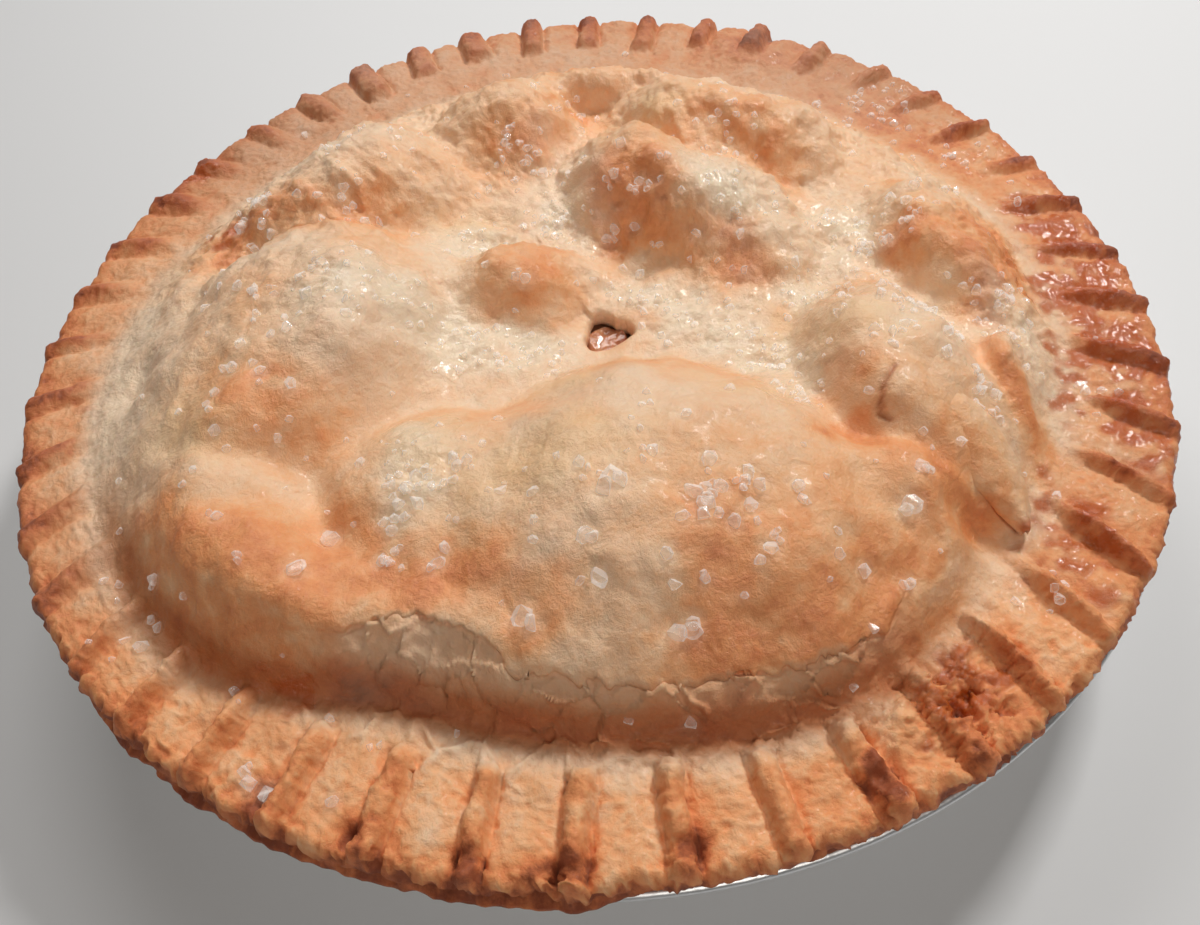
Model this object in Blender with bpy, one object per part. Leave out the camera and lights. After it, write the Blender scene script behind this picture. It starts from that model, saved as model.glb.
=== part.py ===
"""A two-crust apple pie in its foil tin: crimped rim, bumpy baked top with a steam hole, coarse sugar.

The pie stands on its tin's base, with the table at z = 0. Sizes below are in millimetres.
"""

from collections import namedtuple
import itertools
import math
import random

import bmesh
import bpy
import numpy as np
from mathutils import Euler, Matrix, Vector, noise

MM = 0.001

# The whole pie
RIM_RADIUS = 113.0  # outer edge of the baked rim
RIM_LEVEL = 35.0  # top of the flats between the ridges
LOBE_SIZE = 1.16  # the soft tin is bent into three shallow lobes
LOBE_ANGLE = math.radians(79.5)
CENTRING = (0.6, -0.98)  # takes the lobes' box back over the origin
GAP = 0.3  # between one piece and the next
COARSE = 55  # segments of a plain ring; finer rings have twice or four times as many

# Foil tin
FOIL = 0.4
BEAD_RADIUS = 0.9
BEAD_CENTRE = (112.2, 28.9)
TIN_INSIDE = [(81.0, FOIL), (84.0, 1.6), (100.4, 28.2), (102.4, 29.4), (111.0, 29.4)]

# Crust
BOTTOM_CRUST = 3.6
TOP_CRUST = 4.2
FOOT_RADIUS = 87.0  # foot of the dome, mean
FOOT_SHIFT = 5.0  # it stands this much off centre
FOOT_ANGLE = math.radians(65)
BED_HEIGHT = 5.0
BED_DIP = 2.5
BED_DIP_RADIUS = 22.0
WALL_HEIGHT = 24.0
WALL_DEPTH = 12.0
CREASE_BLEND = 1.4  # how softly two lumps meet
LUMP_POWER = 2.8

Lump = namedtuple("Lump", "x y length width turn top")
LUMPS = {
    "front": Lump(10, -54, 49, 38, -4, 22.5),
    "front_left": Lump(-64, -57, 38, 20, -35, 15.5),
    "front_shoulder": Lump(-6, -66, 80, 28, 0, 13),
    "left": Lump(-57, -9, 40, 31, 70, 22),
    "left_shoulder": Lump(-74, -22, 42, 22, -75, 11.5),
    "left_middle": Lump(-29, -45, 26, 22, 0, 15),
    "back_left": Lump(-53, 43, 39, 22, 2, 18.5),
    "back_centre_left": Lump(-13, 59, 20, 19, -10, 17),
    "back": Lump(11, 72, 32, 12, -5, 14),
    "back_right": Lump(37, 50, 31, 18, -24, 19),
    "middle": Lump(21, 27, 31, 20, -32, 19.5),
    "right": Lump(77, 5, 27, 19, -60, 17),
    "right_front": Lump(56, -31, 31, 19, -72, 20),
    "right_flap": Lump(78, -38, 18, 7, -80, 15),
    "middle_left": Lump(-14, 7, 19, 11, -5, 13),
}

# Glazed skin that has torn off the dome's front wall
TEAR_RADIUS = 84.3
TEAR_ANGLE = math.radians(-90)
TEAR_HALF_ANGLE = math.radians(29)
SKIN_STEP = 1.2

# Crimped rim
RIDGE_COUNT = 44
RIDGE_PHASE = math.radians(3.44)
RIDGE_HEIGHT = 3.8
RIDGE_HALF_WIDTH = 2.3
RIDGE_INNER_RADIUS = 94.5
RIDGE_OFFSETS = [math.radians(a) for a in (-1.75, -0.7, 0.7, 1.75, 4.09)]
LIP = 0.6  # how far the lower edge stands out

# Steam hole
VENT_CENTRE = (4.3, -7.0)
VENT_RADIUS = 4.5
VENT_REACH = 60.0  # the rings are centred on the hole at the middle and on the pie from here out

# Coarse sugar
SUGAR_COUNT = 72
SUGAR_SPACING = 7.0
SUGAR_LARGEST = 3.9
SUGAR_SMALLEST = 2.3
SUGAR_SEED = 7


def clear_scene():
    for obj in list(bpy.data.objects):
        bpy.data.objects.remove(obj)


def make_material(name, colour, roughness, metallic=0.0):
    material = bpy.data.materials.new(name)
    material.use_nodes = True
    shader = material.node_tree.nodes["Principled BSDF"]
    shader.inputs["Base Color"].default_value = (*colour, 1)
    shader.inputs["Roughness"].default_value = roughness
    shader.inputs["Metallic"].default_value = metallic
    return material


def ripple(x, y, size, layer):
    """Smooth noise between about -1 and 1, with features of that size."""
    flat = zip(np.ravel(x) / size, np.ravel(y) / size)
    return np.array([noise.noise((u, v, layer)) for u, v in flat]).reshape(np.shape(x))


def soft_max(fields, blend):
    stack = np.array(np.broadcast_arrays(*fields)) / blend
    top = stack.max(axis=0)
    return blend * (top + np.log(np.exp(stack - top).sum(axis=0)))


def soft_min(fields, blend):
    return -soft_max([-field for field in fields], blend)


# The baked surface, as heights above the rim's flats


def foot_radius(angle):
    return FOOT_RADIUS - FOOT_SHIFT * np.cos(angle - FOOT_ANGLE)


def turned_off(angle, middle):
    """The angle from that middle, between -pi and pi."""
    return (angle - middle + math.pi) % (2 * math.pi) - math.pi


def tear_share(angle):
    """1 along the torn front, falling to 0 at its two ends."""
    off = np.abs(turned_off(angle, TEAR_ANGLE)) / TEAR_HALF_ANGLE
    return np.clip((1 - off) * 6, 0, 1)


def skin_edge_radius(angle):
    """Ragged where the skin is torn, and a plain ring inside the foot elsewhere."""
    ragged = 0.9 * np.sin(11 * angle + 0.6) + 0.6 * np.sin(23 * angle) + 0.5 * np.sin(37 * angle + 2)
    share = tear_share(angle)
    return share * (TEAR_RADIUS + ragged) + (1 - share) * (foot_radius(angle) - 7)


def lump_height(lump, x, y):
    turn = math.radians(lump.turn)
    along = (x - lump.x) * math.cos(turn) + (y - lump.y) * math.sin(turn)
    across = (y - lump.y) * math.cos(turn) - (x - lump.x) * math.sin(turn)
    return lump.top * (1 - np.hypot(along / lump.length, across / lump.width) ** LUMP_POWER)


def dome_height(x, y):
    warped_x = x + 4.0 * ripple(x, y, 22.0, 1.3)
    warped_y = y + 4.0 * ripple(x, y, 22.0, 7.9)
    r = np.hypot(x, y)
    bed = BED_HEIGHT - BED_DIP * np.exp(-((r / BED_DIP_RADIUS) ** 2))
    lumps = [lump_height(lump, warped_x, warped_y) for lump in LUMPS.values()]
    inside = foot_radius(np.arctan2(y, x)) - r
    wall = WALL_HEIGHT * (1 - np.exp(-inside / WALL_DEPTH))
    bumps = 0.7 * ripple(x, y, 11.0, 4.1) + 0.35 * ripple(x, y, 5.0, 2.7)
    return soft_min([soft_max([bed, *lumps], CREASE_BLEND), wall], 1.2) + bumps * np.clip(inside / 6, 0, 1)


def ridge_height(x, y):
    r = np.hypot(x, y)
    pitch = 2 * math.pi / RIDGE_COUNT
    turn = np.arctan2(y, x) - RIDGE_PHASE
    number = np.round(turn / pitch)
    off = np.abs(turn - number * pitch) * r
    uneven = 1 + 0.16 * np.sin(number * 2.4) + 0.12 * np.sin(number * 5.1 + 1)
    start = np.clip((r - RIDGE_INNER_RADIUS) / 4, 0, 1)
    return uneven * start * RIDGE_HEIGHT / (1 + (off / RIDGE_HALF_WIDTH) ** 4)


def rim_height(x, y):
    return ridge_height(x, y) + 0.5 * ripple(x, y, 6.0, 9.2)


def top_height(x, y):
    return soft_max([rim_height(x, y), dome_height(x, y)], 0.8)


# Rings of points, and the solids that they make


def even_angles(count):
    return np.arange(count) * 2 * math.pi / count


def ridge_angles():
    """Five points to a ridge, so that every ridge has its two flanks and a flat beside it."""
    pitch = 2 * math.pi / RIDGE_COUNT
    return np.array([RIDGE_PHASE + n * pitch + off for n in range(RIDGE_COUNT) for off in RIDGE_OFFSETS])


def ring_points(radius, angles):
    """Plan positions on a ring, centred on the steam hole near it."""
    near = np.clip(1 - (np.asarray(radius) / VENT_REACH) ** 2, 0, 1) ** 2
    x = radius * np.cos(angles) + near * VENT_CENTRE[0]
    y = radius * np.sin(angles) + near * VENT_CENTRE[1]
    return x, y


def ring(radius, level, angles):
    """One ring, at a level or following a height function of x and y."""
    x, y = ring_points(radius, angles)
    z = level(x, y) if callable(level) else level
    return np.stack(np.broadcast_arrays(x, y, z), axis=-1)


def join_rings(points, lower, upper):
    """Triangles between two closed rings of point numbers, one of which may have twice the points."""
    faces = []
    if len(lower) > len(upper):
        return [face[::-1] for face in join_rings(points, upper, lower)]
    for i, a in enumerate(lower):
        b = lower[(i + 1) % len(lower)]
        if len(upper) == 2 * len(lower):
            c, d, e = upper[2 * i], upper[2 * i + 1], upper[(2 * i + 2) % len(upper)]
            faces += [(a, d, c), (a, b, d), (b, e, d)]
            continue
        c, d = upper[i], upper[(i + 1) % len(upper)]
        if math.dist(points[a], points[d]) < math.dist(points[b], points[c]):
            faces += [(a, b, d), (a, d, c)]
        else:
            faces += [(a, b, c), (b, d, c)]
    return faces


def ring_solid(name, rings, material):
    """A closed solid through the rings, in order, with a point at each end."""
    points = [rings[0].mean(axis=0)]
    numbers = []
    for row in rings:
        numbers.append(range(len(points), len(points) + len(row)))
        points.extend(row)
    points.append(rings[-1].mean(axis=0))
    first, last = numbers[0], numbers[-1]
    faces = [(0, first[(i + 1) % len(first)], first[i]) for i in range(len(first))]
    for lower, upper in zip(numbers, numbers[1:]):
        faces += join_rings(points, lower, upper)
    faces += [(len(points) - 1, last[i], last[(i + 1) % len(last)]) for i in range(len(last))]

    mesh = bpy.data.meshes.new(name)
    mesh.from_pydata([bent(point) for point in points], [], faces)
    obj = bpy.data.objects.new(name, mesh)
    bpy.context.scene.collection.objects.link(obj)
    turn_outward(mesh)
    mesh.materials.append(material)
    mesh.shade_smooth()
    mesh.set_sharp_from_angle(angle=math.radians(50))
    return obj


def bent(point):
    """The point in metres, with the tin's three lobes."""
    x, y, z = point
    r = math.hypot(x, y)
    stretch = 1 + LOBE_SIZE * math.cos(3 * (math.atan2(y, x) - LOBE_ANGLE)) * (r / RIM_RADIUS) ** 2 / RIM_RADIUS
    return ((x * stretch + CENTRING[0]) * MM, (y * stretch + CENTRING[1]) * MM, z * MM)


def turn_outward(mesh):
    body = bmesh.new()
    body.from_mesh(mesh)
    bmesh.ops.recalc_face_normals(body, faces=body.faces)
    if body.calc_volume(signed=True) < 0:
        bmesh.ops.reverse_faces(body, faces=body.faces)
    body.to_mesh(mesh)
    body.free()


def offset_profile(profile, distance):
    """The (radius, level) line moved that far to its left."""
    moved = []
    for k, (r, z) in enumerate(profile):
        before = profile[max(k - 1, 0)]
        after = profile[min(k + 1, len(profile) - 1)]
        back = Vector((r - before[0], z - before[1])).normalized() if k else None
        ahead = Vector((after[0] - r, after[1] - z)).normalized() if k < len(profile) - 1 else back
        along = ((back or ahead) + ahead).normalized()
        reach = distance / max(along.dot(ahead), 0.5)
        moved.append((r - along.y * reach, z + along.x * reach))
    return moved


# The three pieces


def make_tin():
    angles = even_angles(COARSE)
    outside = offset_profile(TIN_INSIDE, -FOIL)
    bead = []
    for turn in (math.radians(degrees) for degrees in (130, 60, -10, -80)):
        r = BEAD_CENTRE[0] + BEAD_RADIUS * math.cos(turn)
        bead.append((r, BEAD_CENTRE[1] + BEAD_RADIUS * math.sin(turn)))
    profile = TIN_INSIDE + bead + outside[::-1]
    foil = make_material("foil", (0.75, 0.76, 0.77), 0.32, 1.0)
    return ring_solid("foil_tin", [ring(r, z, angles) for r, z in profile], foil)


def baked_level(x, y):
    return RIM_LEVEL + top_height(x, y)


def ceiling_level(x, y):
    """Underside of the top crust: its thickness below the lowest baked point nearby."""
    reach = 3.5
    around = [(0, 0), (reach, 0), (-reach, 0), (0, reach), (0, -reach)]
    lowest = np.min([dome_height(x + u, y + v) for u, v in around], axis=0)
    return RIM_LEVEL + np.maximum(lowest, -0.3) - TOP_CRUST


def vent_radius(angles):
    return VENT_RADIUS + 0.5 * np.cos(3 * angles + 1.0)


def inner_rings(shrink):
    """The hollow inside the crust, from its floor up to the steam hole, drawn in by that much."""
    angles = even_angles(COARSE)
    floor, corner, throat = offset_profile(TIN_INSIDE, GAP + BOTTOM_CRUST + shrink)[:3]
    rings = [ring(floor[0] / 2, floor[1], angles), ring(*floor, angles), ring(*corner, angles)]
    rings.append(ring(throat[0] - 1.5, RIM_LEVEL - TOP_CRUST - 2.0 - shrink, angles))
    foot = foot_radius(angles)
    for share in (1.0, 0.9, 0.78, 0.63, 0.47, 0.31, 0.17):
        rings.append(ring(foot * share, lambda x, y: ceiling_level(x, y) - 1.5 * shrink, angles))
    return rings


def make_crust():
    coarse, middle, ridged = even_angles(COARSE), even_angles(2 * COARSE), ridge_angles()
    rings = inner_rings(0.0)

    vent = vent_radius(coarse)
    vent_level = baked_level(*ring_points(vent, coarse))
    rings.append(ring(vent + 0.3, vent_level - TOP_CRUST, coarse))
    rings.append(ring(vent, vent_level - 0.5, coarse))
    rings.append(ring(vent + 0.6, baked_level, coarse))

    for share in (0.12, 0.18, 0.25, 0.32, 0.39, 0.46):
        rings.append(ring(skin_edge_radius(coarse) * share, baked_level, coarse))
    edge = skin_edge_radius(middle)
    foot = foot_radius(middle)
    step = SKIN_STEP * tear_share(middle)
    for share in (0.54, 0.62, 0.7, 0.78, 0.86, 0.94):
        raised = step * max(share - 0.8, 0) * 5
        rings.append(ring(edge * share, lambda x, y, up=raised: baked_level(x, y) + up, middle))
    rings.append(ring(edge, lambda x, y: baked_level(x, y) + step, middle))
    rings.append(ring(edge + 0.3, lambda x, y: baked_level(x, y) - 0.3 * step, middle))
    rings.append(ring((edge + foot) / 2, baked_level, middle))
    rings.append(ring(foot - 0.5, baked_level, middle))
    rings.append(ring(foot + 1.0, baked_level, middle))

    for radius in (RIDGE_INNER_RADIUS, 98.0, 104.0, 110.0, 112.3):
        rings.append(ring(radius, baked_level, ridged))
    rings.append(ring(RIM_RADIUS, lambda x, y: RIM_LEVEL - 1.4 + 0.6 * rim_height(x, y), ridged))
    rings.append(ring(RIM_RADIUS + LIP, RIM_LEVEL - 3.9, ridged))
    underside = offset_profile(TIN_INSIDE, GAP)
    edge_level = underside[-1][1] + 0.2
    rings.append(ring(RIM_RADIUS - 0.5, edge_level, middle))
    rings += [ring(r, z, coarse) for r, z in underside[::-1]]
    pastry = make_material("baked_pastry", (0.66, 0.4, 0.2), 0.5)
    return ring_solid("crust", rings, pastry)


def make_filling():
    angles = even_angles(COARSE)
    rings = inner_rings(GAP)
    vent = vent_radius(angles) - 3 * GAP
    vent_level = baked_level(*ring_points(vent, angles)) - TOP_CRUST
    rings.append(ring(vent + 2, vent_level - 2.5 * GAP, angles))
    rings.append(ring(vent, vent_level - GAP, angles))
    rings.append(ring(vent - 1, vent_level + 1.2, angles))
    apple = make_material("cooked_apple", (0.5, 0.22, 0.1), 0.25)
    return ring_solid("apple_filling", rings, apple)


def make_sugar():
    """Coarse crystals lying on the dome and the rim, in a collection of their own."""
    draw = random.Random(SUGAR_SEED)
    sugar = bpy.data.collections.new("sugar")
    bpy.context.scene.collection.children.link(sugar)
    places = []
    while len(places) < SUGAR_COUNT:
        angle = draw.uniform(0, 2 * math.pi)
        radius = 108 * math.sqrt(draw.uniform(0.02, 1))
        x, y = radius * math.cos(angle), radius * math.sin(angle)
        on_skin_edge = abs(radius - skin_edge_radius(np.array(angle))) < 4
        crowded = any(math.hypot(x - u, y - v) < SUGAR_SPACING for u, v in places)
        near_vent = math.hypot(x - VENT_CENTRE[0], y - VENT_CENTRE[1]) < 10
        on_rim = radius > RIDGE_INNER_RADIUS - 2
        if crowded or near_vent or on_skin_edge or (on_rim and draw.random() < 0.75):
            continue
        places.append((x, y))
        share = len(places) / SUGAR_COUNT
        size = SUGAR_LARGEST + (SUGAR_SMALLEST - SUGAR_LARGEST) * share
        level = float(baked_level(np.array(x), np.array(y)))
        sugar.objects.link(make_crystal(len(places), (x, y, level + 0.12 * size), size, draw))
    return sugar


def make_crystal(number, place, size, draw):
    """A blunt, uneven cube of sugar, turned at random."""
    half = size * 0.36 * MM
    body = bmesh.new()
    for corner in itertools.product((-half, half), repeat=3):
        body.verts.new(component * draw.uniform(0.75, 1.1) for component in corner)
    bmesh.ops.convex_hull(body, input=body.verts)
    bmesh.ops.recalc_face_normals(body, faces=body.faces)
    spin = Euler([draw.uniform(0, math.pi) for _ in range(3)]).to_matrix().to_4x4()
    body.transform(Matrix.Translation(bent(place)) @ spin)
    mesh = bpy.data.meshes.new(f"crystal_{number}")
    body.to_mesh(mesh)
    body.free()
    return bpy.data.objects.new(f"crystal_{number}", mesh)


def fuse(obj, collection):
    """Joins the collection's objects to the solid, then removes them."""
    union = obj.modifiers.new("sugar", "BOOLEAN")
    union.operation = "UNION"
    union.operand_type = "COLLECTION"
    union.collection = collection
    graph = bpy.context.evaluated_depsgraph_get()
    fused = bpy.data.meshes.new_from_object(obj.evaluated_get(graph))
    obj.modifiers.clear()
    old = obj.data
    obj.data = fused
    bpy.data.meshes.remove(old)
    fused.name = obj.name
    for grain in list(collection.objects):
        bpy.data.objects.remove(grain)
    bpy.data.collections.remove(collection)


def build():
    clear_scene()
    make_tin()
    make_filling()
    crust = make_crust()
    fuse(crust, make_sugar())


build()
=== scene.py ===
import math
import random

import bmesh
import bpy
import numpy as np
from mathutils import Euler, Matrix, Vector, bvhtree, kdtree, noise


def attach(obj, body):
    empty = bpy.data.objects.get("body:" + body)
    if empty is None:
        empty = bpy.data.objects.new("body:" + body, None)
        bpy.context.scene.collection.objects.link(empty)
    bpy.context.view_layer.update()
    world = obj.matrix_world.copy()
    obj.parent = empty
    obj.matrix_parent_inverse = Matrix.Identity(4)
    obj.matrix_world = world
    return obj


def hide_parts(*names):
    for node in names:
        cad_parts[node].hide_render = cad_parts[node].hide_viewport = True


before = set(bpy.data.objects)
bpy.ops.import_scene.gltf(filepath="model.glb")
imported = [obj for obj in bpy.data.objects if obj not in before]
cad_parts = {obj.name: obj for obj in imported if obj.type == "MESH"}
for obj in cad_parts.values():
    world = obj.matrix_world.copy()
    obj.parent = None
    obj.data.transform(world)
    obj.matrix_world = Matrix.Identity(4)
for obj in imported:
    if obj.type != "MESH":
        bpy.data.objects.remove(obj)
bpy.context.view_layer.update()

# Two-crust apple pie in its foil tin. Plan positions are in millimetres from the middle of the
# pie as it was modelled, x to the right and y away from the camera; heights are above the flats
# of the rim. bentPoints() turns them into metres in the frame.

pie = dict(
    rimRadius=113.0,
    rimLevel=35.0,      # flats of the rim above the table
    lobeSize=1.16,      # the soft tin is bent into three shallow lobes
    lobeAngle=math.radians(79.5),
    centring=(0.6, -0.98),
)


# helpers

def ripple(x, y, size, layer):
    # smooth noise between about -1 and 1, with features of that size
    flat = zip((np.ravel(x) / size).tolist(), (np.ravel(y) / size).tolist())
    return np.array([noise.noise((u, v, layer)) for u, v in flat]).reshape(np.shape(x))


def hashed(i, j, k, seed):
    # the same number between -1 and 1 each time for the same whole numbers
    n = np.sin(i * 127.1 + j * 311.7 + k * 191.3 + seed * 74.7) * 43758.5453
    return (n - np.floor(n)) * 2 - 1


def grain(place, size, seed):
    # quick noise between about -1 and 1 in space, for relief finer than the solids have
    u, v, w = (np.asarray(axis, float) / size + seed * 7.3 for axis in place)
    i, j, k = np.floor(u), np.floor(v), np.floor(w)
    fu, fv, fw = u - i, v - j, w - k
    su, sv, sw = (t * t * (3 - 2 * t) for t in (fu, fv, fw))
    total = 0
    for du in (0, 1):
        for dv in (0, 1):
            for dw in (0, 1):
                a, b, c = i + du, j + dv, k + dw
                slope = hashed(a, b, c, seed) * (fu - du)
                slope = slope + hashed(a, b, c, seed + 0.31) * (fv - dv)
                slope = slope + hashed(a, b, c, seed + 0.67) * (fw - dw)
                share = (su if du else 1 - su) * (sv if dv else 1 - sv) * (sw if dw else 1 - sw)
                total = total + slope * share
    return total * 1.6


def layered(place, layers):
    # grain of several sizes, each as (size, height, seed)
    return sum(height * grain(place, size, seed) for size, height, seed in layers)


def pebbles(place, size, seed):
    # rounded bumps with sharp creases between them, from 0 to about 1
    return np.abs(grain(place, size, seed)) ** 0.8


def layeredPebbles(place, layers):
    # pebbles of several sizes that rise and sink about evenly, each as (size, height, seed)
    return sum(height * (pebbles(place, size, seed) - 0.35) for size, height, seed in layers)


def cells(place, size, seed):
    # irregular cells of that size: from 0 on a border to 1 inside, and each cell's own number
    u, v, w = (np.asarray(axis, float) / size for axis in place)
    i, j, k = np.floor(u), np.floor(v), np.floor(w)
    near, second, own = np.full(np.shape(u), 9.0), np.full(np.shape(u), 9.0), np.zeros(np.shape(u))
    for du in (-1, 0, 1):
        for dv in (-1, 0, 1):
            for dw in (-1, 0, 1):
                a, b, c = i + du, j + dv, k + dw
                away = np.sqrt((a + 0.5 + 0.5 * hashed(a, b, c, seed) - u) ** 2
                               + (b + 0.5 + 0.5 * hashed(a, b, c, seed + 0.31) - v) ** 2
                               + (c + 0.5 + 0.5 * hashed(a, b, c, seed + 0.67) - w) ** 2)
                second = np.minimum(second, np.maximum(near, away))
                own = np.where(away < near, hashed(a, b, c, seed + 0.93), own)
                near = np.minimum(near, away)
    return np.clip((second - near) * 2.5, 0, 1), own


def lineShare(x, y, line, width):
    # 1 along a broken line of (x, y) points, falling to 0 at that distance from it
    nearest = np.full(np.shape(x), 1e9)
    for (ax, ay), (bx, by) in zip(line, line[1:]):
        lengthSquared = (bx - ax) ** 2 + (by - ay) ** 2
        t = np.clip(((x - ax) * (bx - ax) + (y - ay) * (by - ay)) / lengthSquared, 0, 1)
        nearest = np.minimum(nearest, np.hypot(x - ax - t * (bx - ax), y - ay - t * (by - ay)))
    return np.exp(-((nearest / width) ** 2))


def softMax(fields, blend):
    stack = np.array(np.broadcast_arrays(*fields)) / blend
    top = stack.max(axis=0)
    return blend * (top + np.log(np.exp(stack - top).sum(axis=0)))


def softMin(fields, blend):
    return -softMax([-field for field in fields], blend)


def smooth(value, low, high):
    t = np.clip((value - low) / (high - low), 0, 1)
    return t * t * (3 - 2 * t)


def turnedPlan(x, y, degrees):
    # the same plan position, along and across that direction
    turn = math.radians(degrees)
    return x * math.cos(turn) + y * math.sin(turn), y * math.cos(turn) - x * math.sin(turn)


def patch(x, y, spot):
    # 1 in the middle of a soft oval (x, y, length, width, turn in degrees), falling to 0 outside
    cx, cy, length, width, turn = spot[:5]
    along, across = turnedPlan(x - cx, y - cy, turn)
    return np.exp(-(np.hypot(along / length, across / width) ** 2.4))


def spotSum(x, y, spots):
    # soft ovals added up; a sixth number is the strength of a spot
    return sum((spot[5] if len(spot) > 5 else 1) * patch(x, y, spot) for spot in spots)


def wandered(x, y):
    # the plan shaken a little, so that dents and cracks aren't smooth
    flat = (x, y, 0)
    return x + 0.8 * grain(flat, 3.0, 15), y + 0.8 * grain(flat, 3.0, 16)


def circle(angles, radius):
    return np.cos(angles) * radius, np.sin(angles) * radius, 0


def turnedOff(angle, middle):
    return (angle - middle + math.pi) % (2 * math.pi) - math.pi


def sector(angle, middle, near, far):
    # 1 up to near radians from the middle, which is in degrees, falling to 0 at far
    return smooth(-np.abs(turnedOff(angle, math.radians(middle))), -far, -near)


def bySide(angle, front, side, back):
    # a value that changes smoothly round the rim
    s = np.sin(angle)
    toFront, toBack = smooth(-s, 0.25, 0.8), smooth(s, 0.3, 0.8)
    return side + np.where(s < 0, (front - side) * toFront, (back - side) * toBack)


def bentPoints(points):
    # millimetres to metres in the frame, with the lobes of the tin
    x, y, z = points[:, 0], points[:, 1], points[:, 2]
    r = np.hypot(x, y)
    lobe = pie["lobeSize"] * np.cos(3 * (np.arctan2(y, x) - pie["lobeAngle"]))
    stretch = 1 + lobe * (r / pie["rimRadius"]) ** 2 / pie["rimRadius"]
    dx, dy = pie["centring"]
    return np.stack([x * stretch + dx, y * stretch + dy, z], axis=1) * 0.001


def newObject(name, points, faces, material):
    mesh = bpy.data.meshes.new(name)
    mesh.from_pydata(points.tolist(), [], faces)
    mesh.materials.append(material)
    mesh.shade_smooth()
    obj = bpy.data.objects.new(name, mesh)
    bpy.context.scene.collection.objects.link(obj)
    return obj


def addMask(obj, name, values):
    layer = obj.data.attributes.new(name, "FLOAT", "POINT")
    layer.data.foreach_set("value", np.clip(values, 0, 1).astype(np.float32))


# form of the baked top

# where apple pieces push the top crust up: x, y, length, width, turn, top
lumps = dict(
    front=(10, -54, 49, 38, -4, 22.5),
    frontLeft=(-66, -59, 38, 21, -35, 16),
    frontShoulder=(-6, -66, 80, 28, 0, 13),
    left=(-56, -6, 42, 30, 72, 23.2),
    leftShoulder=(-75, -22, 42, 22, -75, 10),
    leftMiddle=(-29, -45, 26, 22, 0, 15),
    backLeft=(-53, 43, 39, 22, 2, 18.5),
    backCentreLeft=(-13, 59, 20, 19, -10, 17),
    back=(11, 72, 32, 12, -5, 14),
    backRight=(37, 50, 31, 18, -24, 19),
    middle=(21, 27, 31, 20, -32, 19.5),
    right=(79, 4, 27, 20, -60, 17),
    rightFront=(56, -31, 31, 19, -72, 20),
    rightFlap=(78, -38, 18, 7, -80, 15),
    rightSaddle=(50, -55, 17, 12, -45, 14.5),
    middleShoulder=(34, 14, 21, 14, -42, 13.0),
    leftSaddle=(-68, -41, 20, 14, -20, 15.0),
    middleLeft=(-14, 7, 19, 11, -5, 13),
)
dome = dict(
    footRadius=87.0, footShift=5.0, footAngle=math.radians(65),
    # angle in degrees, and how far out the foot of the dome stands there
    footMoves=[(-180, 4.0), (-165, 5.0), (-150, 6.5), (-138, 6.5), (-128, 4.0), (-120, -1.5),
               (-115, -4.2), (-107, -3.6), (-100, -2.5), (-92, -1.2), (-86, 0), (-79, 2.2), (-72, 3.2),
               (-62, 4.2), (-56, 2.7), (-45, 0.5), (-35, 1.5), (-20, 3.5), (0, 5.0), (15, 4.5),
               (30, 2.0), (60, 0), (120, 0), (150, 1.5), (165, 3.0), (180, 4.0)],
    bedHeight=5.0, bedDip=2.5, bedDipRadius=22.0, lumpPower=2.4, creaseBlend=1.8,
    wallHeight=24.0, wallDepth=12.0, gentleDepth=17.0, leftDepth=7.0, wallBlend=1.2,
    warp=[(22.0, 4.0, 1.3, 7.9), (9.0, 1.6, 3.3, 5.3)],     # size, how far, noise layers for x and y
    bumps=[(14.0, 0.9, 6.6), (8.5, 0.8, 4.1), (4.6, 0.4, 2.7)],     # size, height, noise layer
    calmEdge=6.0, sharpFoot=0.8, softFoot=2.0,
)
tear = dict(
    angle=math.radians(-91), halfAngle=math.radians(33), step=0.75, radius=84,
    # angle in degrees, and radius of the torn edge
    line=[(-124, 88.0), (-118, 81.5), (-113, 77.3), (-108, 78.8), (-104, 81.0), (-101, 83.2),
          (-92, 84.6), (-80, 86.8), (-70, 89.2), (-58, 89.6)],
    ragged=[(6.0, 1.1, 3), (2.6, 0.9, 4), (1.3, 0.55, 5)],      # size, how far, seed
    elsewhere=7,            # the skin ends that far inside the foot of the dome where nothing is torn
    # rows over the lip of the skin: how far out, share of the step, how far down
    lip=[(0.0, 1.0, 0.0), (0.3, 0.6, 0.1), (-0.4, 0.1, 0.5), (0.2, 0.0, 0.4)],
)
vent = dict(
    centre=(4.3, -7.0), radius=4.5, reach=60.0,
    wall=[(0.5, 4.2), (-0.2, 2.6), (0.0, 0.9), (0.4, 0.25), (0.9, 0.0)],    # how far out and down
)


def footRadius(angle):
    foot = dome["footRadius"] - dome["footShift"] * np.cos(angle - dome["footAngle"])
    degrees, moves = zip(*dome["footMoves"])
    turned = [np.degrees(turnedOff(angle, math.radians(step))) for step in (-3, 0, 3)]
    return foot + sum(np.interp(each, degrees, moves) for each in turned) / 3


def tearShare(angle):
    return np.clip((1 - np.abs(turnedOff(angle, tear["angle"])) / tear["halfAngle"]) * 6, 0, 1)


def skinEdgeRadius(angle):
    degrees, radii = zip(*tear["line"])
    torn = np.interp(np.degrees(angle) - 360 * (angle > math.pi / 2), degrees, radii)
    torn = torn + layered(circle(angle, tear["radius"]), tear["ragged"])
    share = tearShare(angle)
    return share * torn + (1 - share) * (footRadius(angle) - tear["elsewhere"])


def lumpHeight(lump, x, y):
    cx, cy, length, width, turn, top = lump
    along, across = turnedPlan(x - cx, y - cy, turn)
    return top * (1 - np.hypot(along / length, across / width) ** dome["lumpPower"])


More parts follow.
